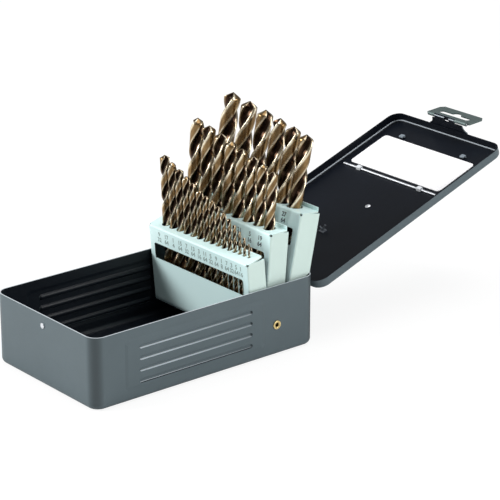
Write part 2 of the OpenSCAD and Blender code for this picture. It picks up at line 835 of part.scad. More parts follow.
// folded sheet: front with a window, sides, top flange with holes and a rear lip; the bottom is bent
// back as far as `foot`, or open
module tier(hw, f, r, b, t, rb, foot, flange_r, spring, lip, band, bits, xs, row, tilt) {
    s = tier_sheet;
    in_b = foot < f ? b - 2 * rb - 2 : b + s;
    fold = f + tier_bend_r;
    corner = 2;
    half = hw - 0.06;
    difference() {
        union() {
            difference() {
                tier_block(hw, f, r, b, t, tier_bend_r, rb, tier_bend_r);
                tier_block(hw - s, f + s, r + 2, in_b, t - s, tier_bend_r - s, max(rb - s, 0.2), tier_bend_r - s);
                // the top is open behind its bend, and the bottom behind its foot
                translate([-hw + s, fold, t - 2 * s])
                    cube([2 * (hw - s), r - fold + 2, 3 * s]);
                if (foot > f)
                    translate([-hw + s, foot, b - 1])
                        cube([2 * (hw - s), r - foot + 2, s + 1.5]);
            }
            // flange: springs up from the bend, so that a wedge opens above each side
            translate([0, fold, t])
                rotate([spring, 0, 0])
                    translate([0, -fold, 0])
                        intersection() {
                            union() {
                                translate([-hw, fold - s / 2, -s])
                                    cube([2 * hw, flange_r - fold + s / 2, s]);
                                if (lip > 0)
                                    translate([-hw, flange_r - s, -s])
                                        cube([2 * hw, s + 0.01, s + lip]);
                            }
                            translate([0, (fold + flange_r) / 2 - corner, -s - 1])
                                linear_extrude(s + lip + 2)
                                    plan(flange_r - fold + 2 * corner, 2 * half, corner);
                        }
        }
        // window that shows the flutes
        translate([0, f + 2 * s, t - band - window_h / 2])
            rotate([90, 0, 0])
                linear_extrude(4 * s)
                    plan(window_h, 2 * (hw - window_side), 1.6);
        // holes, along the bits
        for (i = [0 : len(bits) - 1])
            translate([xs[i], row, t])
                rotate([-tilt, 0, 0])
                    translate([0, 0, -4 * s])
                        cylinder(r = bit_d(bits[i]) / 2 + hole_gap, h = 10 * s, $fn = 48);
        // relief hole where the three bends meet
        for (m = [-1, 1])
            translate([m * (hw - s), f + s, t - s])
                sphere(r = relief_r, $fn = 32);
    }
}

// an ear round the pivot, joined to the side flange by a bar from w0 to w1
module ears(hw, ear_r, w0, w1) {
    for (m = [-1, 1])
        translate([m > 0 ? hw - tier_sheet : -hw, 0, 0])
            rotate([90, 0, 90]) {
                cylinder(r = ear_r, h = tier_sheet, $fn = 48);
                translate([w0, -ear_r, 0])
                    cube([w1 - w0, 2 * ear_r, tier_sheet]);
            }
}

module pivot_bores() {
    rotate([0, 90, 0])
        cylinder(r = eyelet_r + run, h = case_w, center = true, $fn = 48);
}

// rear end of the small tier's bottom and rest, which stay clear of the medium tier's front
small_foot = -medium_front - 2.4;

module tier_small() {
    color([0.78, 0.87, 0.86])
    tier_place(small_lean)
        difference() {
            union() {
                tier(small_side, -small_front, -small_rear, -small_bottom, small_top, small_bend_r, small_foot,
                     -small_rear - 1, small_flange_tilt, 0, small_band, SMALL_BITS, SMALL_XS, -small_row, small_tilt);
                ears(small_side, eyelet_r + 3, -small_rear - 3, 0);
            }
            pivot_bores();
        }
}

module tier_medium() {
    color([0.76, 0.85, 0.84])
    tier_place(medium_lean)
        difference() {
            tier(medium_side, -medium_front, medium_rear, -medium_bottom, medium_top, tier_bend_r,
                 -medium_front - 1, medium_rear - 0.3, flange_tilt, lip_h, medium_band,
                 MEDIUM_BITS, MEDIUM_XS, medium_row, 0);
            pivot_bores();
            // slanted rear edge, clear of the large tier
            translate([-case_w / 2, 0, 0])
                rotate([90, 0, 90])
                    linear_extrude(case_w)
                        polygon([
                            [medium_rear_low, -medium_bottom - 1],
                            [medium_rear_low, -medium_bottom],
                            [medium_rear, medium_rear_v],
                            [medium_rear + 5, medium_rear_v],
                            [medium_rear + 5, -medium_bottom - 1]
                        ]);
        }
}

// height on the large tier's rear edge of the tray's rim
large_clear_v = (case_h - pivot_z + large_rear * sin(large_lean)) / cos(large_lean) - 1.3;

module tier_large() {
    color([0.74, 0.83, 0.82])
    tier_place(large_lean)
        difference() {
            union() {
                tier(large_side, large_front, large_rear, -large_bottom, large_top, tier_bend_r,
                     large_front - 1, large_rear - 0.3, flange_tilt, lip_h, large_band,
                     LARGE_BITS, LARGE_XS, large_row, 0);
                ears(large_side, eyelet_r + 2, 0, large_front + 3);
            }
            pivot_bores();
            // rear edge below the tray's rim, clear of the tray's round corners
            translate([-case_w / 2, 0, 0])
                rotate([90, 0, 90])
                    linear_extrude(case_w)
                        polygon([
                            [large_rear - 2.4, -large_bottom - 1],
                            [large_rear - 2.4, large_clear_v],
                            [large_rear + 0.01, large_clear_v + 3],
                            [large_rear + 5, large_clear_v + 3],
                            [large_rear + 5, -large_bottom - 1]
                        ]);
        }
}

// slanted rest that the bits of a tier stand on, with a tab bent up at each end
module rest(hw, w0, w1, xs, v) {
    x1 = hw - tier_sheet;
    tab = 1.6;
    mid = rest_mid(xs);
    translate([0, w1, 0])
        rotate([90, 0, 0])
            linear_extrude(w1 - w0)
                polygon([
                    [-x1, rest_v(-x1, xs, v) + tab],
                    [-x1, rest_v(-x1, xs, v) - rest_t],
                    [mid, rest_v(mid, xs, v) - rest_t],
                    [x1, rest_v(x1, xs, v) - rest_t],
                    [x1, rest_v(x1, xs, v) + tab],
                    [x1 - rest_t, rest_v(x1, xs, v) + tab],
                    [x1 - rest_t, rest_v(x1 - rest_t, xs, v)],
                    [mid, rest_v(mid, xs, v)],
                    [-x1 + rest_t, rest_v(-x1 + rest_t, xs, v)],
                    [-x1 + rest_t, rest_v(-x1, xs, v) + tab]
                ]);
}

module rest_small() {
    color([0.66, 0.75, 0.74])
    tier_place(small_lean)
        rest(small_side, -small_front + tier_bend_r, small_foot, SMALL_XS, SMALL_REST);
}

module rest_medium() {
    color([0.66, 0.75, 0.74])
    tier_place(medium_lean)
        rest(medium_side, -medium_front + tier_bend_r, medium_rear_low - 0.2, MEDIUM_XS, MEDIUM_REST);
}

module rest_large() {
    color([0.66, 0.75, 0.74])
    tier_place(large_lean)
        rest(large_side, large_front + tier_bend_r, large_rear - 2.6, LARGE_XS, LARGE_REST);
}

// twist drill: round shank, two flutes, pointed end
function flute_l(n) = bit_l(n) * bit_fluted;

// half of the fluted section: angle and share of the radius, a land and then a flute
LAND = [[0, 1], [50, 1], [80, bit_core + 0.12], [135, bit_core]];
SECTION = [for (h = [0, 180]) for (p = LAND) [h + p[0], p[1]]];

module flutes(r, body, tip, lead) {
    m = len(SECTION);
    count = ceil(8 * body / lead);
    last = count + 1;
    points = [
        for (i = [0 : last])
            let (z = i < last ? i * body / count : body + tip, k = i < last ? r : 0.12 * r)
                for (p = SECTION)
                    [k * p[1] * cos(p[0] + 360 * z / lead), k * p[1] * sin(p[0] + 360 * z / lead), z]
    ];
    sides = [
        for (i = [0 : last - 1])
            for (j = [0 : m - 1])
                let (a = i * m + j, b = i * m + (j + 1) % m)
                    for (f = [[a, a + m, b + m], [a, b + m, b]])
                        f
    ];
    polyhedron(
        points,
        concat(sides, [[for (j = [0 : m - 1]) j]], [[for (j = [m - 1 : -1 : 0]) last * m + j]])
    );
}

module bit(n) {
    r = bit_d(n) / 2;
    tip = r / tan(bit_point / 2);
    shank = bit_l(n) - flute_l(n);
    sunk = 0.5;
    cylinder(r = r, h = shank, $fn = 48);
    translate([0, 0, shank - sunk])
        flutes(0.985 * r, flute_l(n) - tip + sunk, tip, bit_lead * 2 * r);
}

// each bit leans by `tilt` from its tier, turned where it passes the flange at height t
module bits(lean, list, xs, row, t, tilt, v) {
    for (i = [0 : len(list) - 1])
        color([0.62, 0.50, 0.36])
            tier_place(lean)
                translate([xs[i], row, t])
                    rotate([-tilt, 0, 0])
                        translate([0, 0, bit_v(list[i], xs[i], xs, v) - t])
                            bit(list[i]);
}

case_body();
front_stud();
eyelet_left();
eyelet_right();
hinge_leaf_case();
hinge_leaf_lid();
hinge_pin();
lid_shell();
hang_tab();
hang_tab_pin();
label_card();
label_rail();
lid_rivet();
lift_eye();
tier_small();
tier_medium();
tier_large();
rest_small();
rest_medium();
rest_large();
bits(small_lean, SMALL_BITS, SMALL_XS, -small_row, small_top, small_tilt, SMALL_REST);
bits(medium_lean, MEDIUM_BITS, MEDIUM_XS, medium_row, medium_top, 0, MEDIUM_REST);
bits(large_lean, LARGE_BITS, LARGE_XS, large_row, large_top, 0, LARGE_REST);
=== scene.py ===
import math

import bmesh
import bpy
from mathutils import Matrix, Vector


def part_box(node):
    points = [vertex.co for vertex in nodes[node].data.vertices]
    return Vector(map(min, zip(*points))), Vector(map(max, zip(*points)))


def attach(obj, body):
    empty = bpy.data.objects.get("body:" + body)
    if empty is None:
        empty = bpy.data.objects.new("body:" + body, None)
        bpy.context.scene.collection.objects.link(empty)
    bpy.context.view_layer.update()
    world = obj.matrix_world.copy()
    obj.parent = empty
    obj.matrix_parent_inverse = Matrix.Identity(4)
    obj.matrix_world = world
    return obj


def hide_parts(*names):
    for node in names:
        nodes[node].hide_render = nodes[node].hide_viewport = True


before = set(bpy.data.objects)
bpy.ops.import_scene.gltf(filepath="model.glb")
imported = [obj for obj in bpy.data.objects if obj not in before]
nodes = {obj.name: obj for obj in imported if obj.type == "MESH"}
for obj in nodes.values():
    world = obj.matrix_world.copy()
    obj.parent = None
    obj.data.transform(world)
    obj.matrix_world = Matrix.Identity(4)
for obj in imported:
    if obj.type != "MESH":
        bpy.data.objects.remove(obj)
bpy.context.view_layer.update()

# ---- Camera ----
# A long lens well off the case's front right corner, looking down at the tray's
# near side and into the open lid.
eye = Vector((1.1421, -0.8594, 0.5969))
camera_turn = math.radians(50.47)
camera_height = math.radians(20.07)
back = Vector((
    math.sin(camera_turn) * math.cos(camera_height),
    -math.cos(camera_turn) * math.cos(camera_height),
    math.sin(camera_height),
))
right = Vector((math.cos(camera_turn), math.sin(camera_turn), 0))
up = back.cross(right)
camera = bpy.data.objects.new("camera", bpy.data.cameras.new("camera"))
camera.data.sensor_width = 36
camera.data.lens = 160.15
camera.data.clip_end = 20
camera.matrix_world = Matrix.Translation(eye) @ Matrix((right, up, back)).transposed().to_4x4()
bpy.context.scene.collection.objects.link(camera)
bpy.context.scene.camera = camera

# ---- Studio ----
# A white paper floor under soft light: a large lamp ahead and to the left, one to the
# right, one overhead, and a plain pale room all round.
bpy.context.scene.view_settings.view_transform = "Standard"


def wire(tree, source, target):
    tree.links.new(source, target)


world = bpy.data.worlds.new("room")
bpy.context.scene.world = world
world.use_nodes = True
room = world.node_tree
room.nodes.clear()
room_out = room.nodes.new("ShaderNodeOutputWorld")
room_light = room.nodes.new("ShaderNodeBackground")
room_light.inputs["Color"].default_value = (1, 1, 1, 1)
room_seen = room.nodes.new("ShaderNodeBackground")
room_seen.inputs["Color"].default_value = (1, 1, 1, 1)
room_seen.inputs["Strength"].default_value = 1
room_light.inputs["Strength"].default_value = 0.3
room_path = room.nodes.new("ShaderNodeLightPath")
room_mix = room.nodes.new("ShaderNodeMixShader")
wire(room, room_path.outputs["Is Camera Ray"], room_mix.inputs["Fac"])
wire(room, room_light.outputs[0], room_mix.inputs[1])
wire(room, room_seen.outputs[0], room_mix.inputs[2])
wire(room, room_mix.outputs[0], room_out.inputs[0])

paper_glow = 1.08
paper_seen_share = 0.8
floor_mesh = bpy.data.meshes.new("paper_floor")
floor_mesh.from_pydata([(-6, -6, 0), (6, -6, 0), (6, 6, 0), (-6, 6, 0)], [], [(0, 1, 2, 3)])
floor = bpy.data.objects.new("paper_floor", floor_mesh)
floor.location.z = -0.0002
bpy.context.scene.collection.objects.link(floor)
paper = bpy.data.materials.new("white_paper")
paper.use_nodes = True
sheet_tree = paper.node_tree
sheet_tree.nodes.clear()
sheet_out = sheet_tree.nodes.new("ShaderNodeOutputMaterial")
sheet_matt = sheet_tree.nodes.new("ShaderNodeBsdfDiffuse")
sheet_matt.inputs["Color"].default_value = (0.9, 0.9, 0.9, 1)
sheet_glow = sheet_tree.nodes.new("ShaderNodeEmission")
sheet_glow.inputs["Color"].default_value = (1, 1, 1, 1)
sheet_glow.inputs["Strength"].default_value = paper_glow
sheet_both = sheet_tree.nodes.new("ShaderNodeMixShader")
sheet_path = sheet_tree.nodes.new("ShaderNodeLightPath")
sheet_share = sheet_tree.nodes.new("ShaderNodeMath")
sheet_share.operation = "MULTIPLY"
sheet_share.inputs[1].default_value = paper_seen_share
wire(sheet_tree, sheet_path.outputs["Is Camera Ray"], sheet_share.inputs[0])
wire(sheet_tree, sheet_share.outputs[0], sheet_both.inputs["Fac"])
wire(sheet_tree, sheet_matt.outputs[0], sheet_both.inputs[1])
wire(sheet_tree, sheet_glow.outputs[0], sheet_both.inputs[2])
wire(sheet_tree, sheet_both.outputs[0], sheet_out.inputs[0])
floor_mesh.materials.append(paper)


def softbox(name, place, aim, size, watts):
    lamp = bpy.data.lights.new(name, "AREA")
    lamp.shape = "RECTANGLE"
    lamp.size, lamp.size_y = size
    lamp.energy = watts
    holder = bpy.data.objects.new(name, lamp)
    holder.location = place
    holder.rotation_euler = (Vector(aim) - Vector(place)).to_track_quat("-Z", "Y").to_euler()
    bpy.context.scene.collection.objects.link(holder)


softbox("key_softbox", (-1.2, -1.6, 1.1), (0, 0, 0.05), (1.0, 0.9), 44)
softbox("right_softbox", (1.7, 0.7, 0.8), (0, 0.05, 0.05), (0.9, 0.8), 14.5)
softbox("overhead_softbox", (0.1, 0.3, 1.7), (0, 0.05, 0.05), (1.3, 1.0), 13)


# ---- Tray ----
# Deep-drawn steel tray, sprayed semi-gloss grey outside; the inside is much darker. It has
# pressed panels and grooves in its two long sides. The rim top and the grooves' lower lips
# carry painted highlights, and the rounded upright corners carry painted shade.
class Paint:
    """A node material being built: a Principled shader and short calls that add to it."""

    def __init__(self, name):
        self.material = bpy.data.materials.new(name)
        self.material.use_nodes = True
        self.tree = self.material.node_tree
        self.shader = self.tree.nodes["Principled BSDF"]
        self.place = self.tree.nodes.new("ShaderNodeTexCoord").outputs["Object"]

    def set(self, **values):
        for name, value in values.items():
            self.shader.inputs[name.replace("_", " ")].default_value = value

    def link(self, source, target):
        if isinstance(source, (int, float)):
            target.default_value = source
        else:
            self.tree.links.new(source, target)

    def noise(self, scale, detail=3.0, stretch=None):
        node = self.tree.nodes.new("ShaderNodeTexNoise")
        node.inputs["Scale"].default_value = scale
        node.inputs["Detail"].default_value = detail
        source = self.place
        if stretch:
            mapping = self.tree.nodes.new("ShaderNodeMapping")
            mapping.inputs["Scale"].default_value = stretch
            self.link(source, mapping.inputs["Vector"])
            source = mapping.outputs[0]
        self.link(source, node.inputs["Vector"])
        return node.outputs["Fac"]

    def math(self, kind, a, b=0.0, clamp=False):
        node = self.tree.nodes.new("ShaderNodeMath")
        node.operation = kind
        node.use_clamp = clamp
        self.link(a, node.inputs[0])
        self.link(b, node.inputs[1])
        return node.outputs[0]

    def times(self, a, b, clamp=False):
        return self.math("MULTIPLY", a, b, clamp)

    def plus(self, a, b):
        return self.math("ADD", a, b)

    def minus(self, a, b, clamp=False):
        return self.math("SUBTRACT", a, b, clamp)

    def over(self, a, b):
        return self.math("GREATER_THAN", a, b)

    def under(self, a, b):
        return self.math("LESS_THAN", a, b)

    def ramp(self, fac, stops):
        node = self.tree.nodes.new("ShaderNodeValToRGB")
        keys = node.color_ramp.elements
        for i, (at, colour) in enumerate(stops):
            key = keys[i] if i < 2 else keys.new(at)
            key.position = at
            key.color = (*colour, 1)
        self.link(fac, node.inputs[0])
        return node.outputs[0]

    def between(self, fac, a, b):
        node = self.tree.nodes.new("ShaderNodeMix")
        node.data_type = "RGBA"
        self.link(fac, node.inputs["Factor"])
        for value, target in ((a, node.inputs[6]), (b, node.inputs[7])):
            if isinstance(value, tuple):
                target.default_value = (*value, 1)
            else:
                self.tree.links.new(value, target)
        return node.outputs[2]

    def mottled(self, scale, a, b):
        return self.between(self.noise(scale), a, b)

    def parts(self, vector):
        node = self.tree.nodes.new("ShaderNodeSeparateXYZ")
        self.link(vector, node.inputs[0])
        return node.outputs

    def facing(self):
        """The surface's direction, in the piece's own axes."""
        turn = self.tree.nodes.new("ShaderNodeVectorTransform")
        turn.vector_type = "NORMAL"
        turn.convert_from, turn.convert_to = "WORLD", "OBJECT"
        self.link(self.tree.nodes.new("ShaderNodeNewGeometry").outputs["Normal"], turn.inputs[0])
        return self.parts(turn.outputs[0])

    def colour(self, source):
        self.link(source, self.shader.inputs["Base Color"])

    def rough(self, least, spread, scale, stretch=None):
        """Roughness that rises from its least value with a fine grain."""
        grain = self.times(self.noise(scale, stretch=stretch), spread)
        self.link(self.plus(grain, least), self.shader.inputs["Roughness"])

    def bump(self, height, distance):
        node = self.tree.nodes.new("ShaderNodeBump")
        node.inputs["Distance"].default_value = distance
        self.link(height, node.inputs["Height"])
        self.link(node.outputs[0], self.shader.inputs["Normal"])


def rgb(*screen):
    """A colour as it looks on a screen, 0 to 255, turned into the shader's linear values."""
    shares = [value / 255 for value in screen]
    return tuple(((s + 0.055) / 1.055) ** 2.4 if s > 0.04 else s / 12.92 for s in shares)


def shade(colour, share):
    return tuple(share * value for value in colour)


def dress(material, *names):
    for name in names:
        nodes[name].data.materials.clear()
        nodes[name].data.materials.append(material)


rim_height = 0.05125
floor_bend_top = 0.012
groove_face = 0.0562
groove_low, groove_high = 0.0095, 0.0435
tray_outside = rgb(85, 98, 103)
tray_inside = rgb(15, 21, 29)
tray_paint = Paint("tray_grey_paint")
x, y, z = tray_paint.parts(tray_paint.place)
nx, ny, nz = tray_paint.facing()
outward = tray_paint.plus(tray_paint.times(nx, x), tray_paint.times(ny, y))
low = tray_paint.under(z, floor_bend_top)
outward = tray_paint.minus(outward, tray_paint.times(tray_paint.times(nz, low), 0.2))
inside = tray_paint.under(outward, -0.0005)
mottle = tray_paint.noise(60)
outer = tray_paint.between(mottle, shade(tray_outside, 0.93), shade(tray_outside, 1.07))
inner = tray_paint.between(mottle, shade(tray_inside, 0.85), shade(tray_inside, 1.1))
# Painted highlight: the flat top of the rim is made a pale grey, standing in for light caught
# along it.
rim_top_painted_highlight = tray_paint.times(tray_paint.over(z, rim_height), tray_paint.over(nz, 0.5))
# Painted shade: the outside is darkened where it turns round the upright corners, down to about a
# quarter of its grey.
corner_painted_shade = tray_paint.math("ABSOLUTE", tray_paint.times(nx, ny))
corner_painted_shade = tray_paint.times(tray_paint.minus(corner_painted_shade, 0.12), 1.6, clamp=True)
outer = tray_paint.between(corner_painted_shade, outer, shade(tray_outside, 0.28))
# Painted highlight: the upward-facing lower lips of the side grooves are made pale, strongest at
# the front and fading towards the back.
groove_lip_painted_highlight = tray_paint.over(nz, 0.6)
for there in (tray_paint.over(tray_paint.math("ABSOLUTE", x), groove_face),
              tray_paint.over(z, groove_low), tray_paint.under(z, groove_high)):
    groove_lip_painted_highlight = tray_paint.times(groove_lip_painted_highlight, there)
nearness = tray_paint.minus(0.75, tray_paint.times(y, 8.0), clamp=True)
outer = tray_paint.between(tray_paint.times(groove_lip_painted_highlight, nearness), outer, rgb(200, 210, 217))
walls = tray_paint.between(inside, outer, inner)
tray_paint.colour(tray_paint.between(rim_top_painted_highlight, walls, rgb(196, 204, 210)))
tray_paint.rough(0.34, 0.12, 300)
tray_paint.bump(tray_paint.noise(1800, 2), 0.00004)
tray_paint.set(Specular_IOR_Level=0.35)
dress(tray_paint.material, "case_body")

# ---- Hinge leaves ----
# Two thin rolled steel leaves in the tray's grey, sprayed all over. One is fixed
# to the tray's back wall and one to the lid's, and they turn on the hinge pin.
leaf_paint = Paint("hinge_grey_paint")
leaf_paint.colour(leaf_paint.mottled(60, rgb(79, 91, 96), rgb(91, 105, 110)))
leaf_paint.rough(0.36, 0.12, 300)
leaf_paint.bump(leaf_paint.noise(1800, 2), 0.00004)
dress(leaf_paint.material, "hinge_leaf_case", "hinge_leaf_lid")

# ---- Lid ----
# Shallow lid of the same steel, hinged at the back and open past upright. Its
# tongue is bent up from the front wall and rolled round the hanger's pin.
lid_lean = math.radians(20)
lid_axis = (0.0956, 0.0476)
lid_floor = -0.01057
lid_half_length = 0.0956
clips_within = (0.05, 0.088)
card_tabs_from = 0.15
lid_paint = Paint("lid_paint")
x, y, z = lid_paint.parts(lid_paint.place)
nx, ny, nz = lid_paint.facing()
y = lid_paint.minus(y, lid_axis[0])
z = lid_paint.minus(z, lid_axis[1])


def lid_turned(a, b, sign):
    """Share of a vector along the lid (sign 1) or square to it (sign -1)."""
    first, second = math.cos(lid_lean), math.sin(lid_lean)
    if sign < 0:
        first, second = -second, first
    return lid_paint.plus(lid_paint.times(a, first), lid_paint.times(b, second))


along, rise = lid_turned(y, z, 1), lid_turned(y, z, -1)
n_along, n_rise = lid_turned(ny, nz, 1), lid_turned(ny, nz, -1)
from_middle = lid_paint.minus(along, lid_half_length)
outward = lid_paint.plus(lid_paint.times(nx, x), lid_paint.times(n_along, from_middle))
outside = lid_paint.math("MAXIMUM", lid_paint.over(outward, 0.004), lid_paint.under(n_rise, -0.2))
# Painted reflection: the rounded fillet where the lid's inner walls meet its floor is made a pale
# line.
fillet_painted_reflection = lid_paint.times(lid_paint.over(n_rise, 0.35), lid_paint.under(n_rise, 0.75))
fillet_painted_reflection = lid_paint.times(fillet_painted_reflection, lid_paint.under(outward, -0.004))
off_walls = lid_paint.times(
    lid_paint.under(lid_paint.math("ABSOLUTE", x), clips_within[0]),
    lid_paint.under(lid_paint.math("ABSOLUTE", from_middle), clips_within[1]))
clip = lid_paint.times(off_walls, lid_paint.over(rise, lid_floor + 0.00015))
mottle = lid_paint.noise(45)
dark = lid_paint.between(mottle, rgb(8, 12, 20), rgb(14, 20, 29))
grey = lid_paint.between(mottle, rgb(84, 96, 101), rgb(98, 110, 115))
sprayed = lid_paint.between(outside, dark, grey)
sprayed_with_fillet_reflection = lid_paint.between(lid_paint.times(fillet_painted_reflection, 0.8), sprayed, rgb(190, 200, 208))
is_tab = lid_paint.over(along, card_tabs_from)
clip_tone = lid_paint.between(is_tab, rgb(220, 224, 228), rgb(128, 138, 146))
lid_paint.colour(lid_paint.between(clip, sprayed_with_fillet_reflection, clip_tone))
lid_paint.rough(0.3, 0.12, 240)
lid_paint.bump(lid_paint.noise(1600, 2), 0.00004)
lid_paint.set(Specular_IOR_Level=0.18)
dress(lid_paint.material, "lid_shell")

# ---- Hanger ----
# Zinc-plated plate with a slot for a display peg. Its two rolled ends swing on a
# pin held in the lid's tongue.
zinc = Paint("dull_zinc_plate")
zinc.colour(zinc.mottled(500, rgb(80, 95, 95), rgb(108, 122, 120)))
zinc.rough(0.35, 0.2, 900)
zinc.bump(zinc.noise(2500), 0.00003)
zinc.set(Metallic=0.55)
dress(zinc.material, "hang_tab")

# ---- Bright steel fittings ----
# Stud in the latch wall, hinge and hanger pins, the card's wire rail and the lid's
# rivet: plain drawn steel, lightly polished. The lid's lift eye is duller wire.
bright = Paint("drawn_bright_steel")
bright.colour(bright.mottled(700, rgb(196, 200, 206), rgb(232, 234, 238)))
bright.rough(0.32, 0.1, 1500, stretch=(0.1, 1, 1))
bright.set(Metallic=0.75)
dress(bright.material, "front_stud", "hinge_pin", "hang_tab_pin", "label_rail", "lid_rivet")
dull_wire = Paint("dull_steel_wire")
dull_wire.colour(dull_wire.mottled(700, rgb(96, 102, 110), rgb(128, 134, 142)))
dull_wire.rough(0.4, 0.1, 1500)
dull_wire.set(Metallic=0.6)
dress(dull_wire.material, "lift_eye")

# ---- Eyelets ----
# Tubular brass rivets through both long walls. The three tiers turn on them.
brass = Paint("spun_brass")
brass.colour(brass.mottled(900, rgb(214, 184, 116), rgb(244, 224, 168)))
brass.rough(0.2, 0.15, 1600)
brass.set(Metallic=1.0)
dress(brass.material, "eyelet_left", "eyelet_right")

# ---- Index card ----
# A blank white card held on the lid's floor by a wire rail and two small tabs.
card_stock = Paint("white_card")
card_stock.colour(card_stock.mottled(1500, rgb(246, 246, 248), rgb(253, 253, 254)))
card_stock.rough(0.6, 0.15, 2500)
card_stock.bump(card_stock.noise(3500), 0.00002)
dress(card_stock.material, "label_card")

# ---- Index tiers ----
# Three folded sheet racks in pale enamel, one behind the other on the same pivot,
# each with a slanted rest under its row of bits. Painted shade darkens the inner
# faces of their front and side walls and, more lightly, all their sideways faces.
tier_lean = {"small": -5.0, "medium": 4.8, "large": 12.0}
tier_front = {"small": -0.0203, "medium": -0.0073, "large": 0.0082}
tier_top = {"small": 0.0506, "medium": 0.0644, "large": 0.0780}
front_sheet_depth = 0.003
below_top = 0.001
pivot = Vector((0, 0.0595, 0.0228))
for tier, lean in tier_lean.items():
    enamel = Paint(f"pale_green_enamel_{tier}")
    x, y, z = enamel.parts(enamel.place)
    nx, ny, nz = enamel.facing()
    y = enamel.minus(y, pivot.y)
    z = enamel.minus(z, pivot.z)
    turn = math.radians(lean)
    cos_lean, sin_lean = math.cos(turn), math.sin(turn)
    behind = enamel.minus(enamel.times(y, cos_lean), enamel.times(z, sin_lean))
    above = enamel.plus(enamel.times(z, cos_lean), enamel.times(y, sin_lean))
    n_back = enamel.minus(enamel.times(ny, cos_lean), enamel.times(nz, sin_lean))
    # Painted shade: the inner faces of the front sheet and side walls, below the top, are made a
    # dark grey.
    front_back = enamel.times(enamel.over(n_back, 0.5),
                              enamel.under(behind, tier_front[tier] + front_sheet_depth))
    side_back = enamel.under(enamel.times(nx, x), -0.02)
    inner_face_painted_shade = enamel.times(enamel.math("MAXIMUM", front_back, side_back),
                               enamel.under(above, tier_top[tier] - below_top))
    sprayed = enamel.mottled(40, rgb(218, 248, 248), rgb(226, 253, 252))
    # Painted shade: faces turned to either side are made a little darker and less blue-green than
    # the front.
    side_faces_painted_shade = enamel.over(enamel.math("ABSOLUTE", nx), 0.6)
    sprayed = enamel.between(side_faces_painted_shade, sprayed, rgb(208, 229, 222))
    enamel.colour(enamel.between(inner_face_painted_shade, sprayed, rgb(58, 72, 78)))
    enamel.rough(0.3, 0.1, 260)
    enamel.bump(enamel.noise(1500, 2), 0.00003)
    dress(enamel.material, f"tier_{tier}", f"rest_{tier}")

# ---- Drill bits ----
# Twenty-nine ground high-speed steel bits with a straw gold finish: a round shank,
# two flutes that wind up to a pointed end, and a narrow margin along each land.
# The flutes darken with depth as painted shade, and a cream painted highlight runs
# along each margin and, fainter, each heel.
tier_rows = {"small": range(18, 3, -1), "medium": range(26, 18, -1), "large": range(32, 26, -1)}
bit_lean = {"small": -2.0, "medium": 4.8, "large": 12.0}

straw = Paint("straw_gold_steel")


def read_share(name):
    node = straw.tree.nodes.new("ShaderNodeAttribute")
    node.attribute_name = name
    return node.outputs["Fac"]


land = straw.mottled(260, rgb(96, 72, 48), rgb(162, 134, 92))
# Painted shade: the flutes turn a darker brown the deeper they cut.
flute_painted_shade = straw.ramp(read_share("flute"), [
    (0.0, rgb(124, 96, 64)), (0.45, rgb(66, 48, 36)), (1.0, rgb(36, 26, 20))])
body_tone = straw.between(straw.times(read_share("flute"), 2.2, clamp=True), land, flute_painted_shade)
# Painted highlight: a near-white cream line along each land's margin and, fainter, its heel.
straw.colour(straw.between(read_share("margin_painted_highlight"), body_tone, rgb(255, 246, 220)))
straw.rough(0.2, 0.15, 1800)
straw.set(Metallic=1.0)

flute_depth = 0.57
margin_width = 0.08
land_relief = 0.035
run_out_radii = 2.4
drill_tree = bpy.data.node_groups.new("twist_drill", "GeometryNodeTree")
for kind, names in (("Float", ("Radius", "Length", "Shank", "Lead", "Tip", "Start")),
                    ("Int", ("Around", "Rows")), ("Material", ("Finish",))):
    for name in names:
        drill_tree.interface.new_socket(name, in_out="INPUT", socket_type="NodeSocket" + kind)
drill_tree.interface.new_socket("Geometry", in_out="OUTPUT", socket_type="NodeSocketGeometry")
given = drill_tree.nodes.new("NodeGroupInput").outputs


def calc(kind, a, b=0.0, c=0.0, clamp=False):
    node = drill_tree.nodes.new("ShaderNodeMath")
    node.operation = kind
    node.use_clamp = clamp
    for value, socket in zip((a, b, c), node.inputs):
        if isinstance(value, (int, float)):
            socket.default_value = value
        else:
            drill_tree.links.new(value, socket)
    return node.outputs[0]


grid = drill_tree.nodes.new("GeometryNodeMeshGrid")
grid.inputs["Size X"].default_value = 1
grid.inputs["Size Y"].default_value = 1
drill_tree.links.new(given["Around"], grid.inputs["Vertices X"])
drill_tree.links.new(given["Rows"], grid.inputs["Vertices Y"])
where = drill_tree.nodes.new("ShaderNodeSeparateXYZ")
drill_tree.links.new(drill_tree.nodes.new("GeometryNodeInputPosition").outputs[0], where.inputs[0])
round_share = calc("ADD", where.outputs[0], 0.5)
step = calc("MULTIPLY", calc("ADD", where.outputs[1], 0.5), calc("SUBTRACT", given["Rows"], 1))
height = calc("MULTIPLY", calc("DIVIDE", calc("MAXIMUM", calc("SUBTRACT", step, 1), 0),
                               calc("SUBTRACT", given["Rows"], 2)), given["Length"])
closed_end = calc("MINIMUM", step, 1)
half_turn = calc("FRACT", calc("MULTIPLY", round_share, 2))
in_flute = calc("DIVIDE", calc("SUBTRACT", half_turn, 0.5), 0.5, clamp=True)
scoop = calc("POWER", calc("SINE", calc("MULTIPLY", in_flute, math.pi)), 0.6)
relief = calc("MULTIPLY", calc("GREATER_THAN", half_turn, margin_width), land_relief)
run_out = calc("DIVIDE", calc("SUBTRACT", height, given["Shank"]),
               calc("MULTIPLY", given["Radius"], run_out_radii), clamp=True)
cut = calc("MULTIPLY", run_out, calc("ADD", calc("MULTIPLY", scoop, flute_depth), relief))
cone = calc("DIVIDE", calc("SUBTRACT", given["Length"], height), given["Tip"], clamp=True)
reach = calc("MULTIPLY", given["Radius"], calc("SUBTRACT", 1, cut))
reach = calc("MULTIPLY", calc("MULTIPLY", reach, cone), closed_end)
turns = calc("ADD", round_share, calc("DIVIDE", height, given["Lead"]))
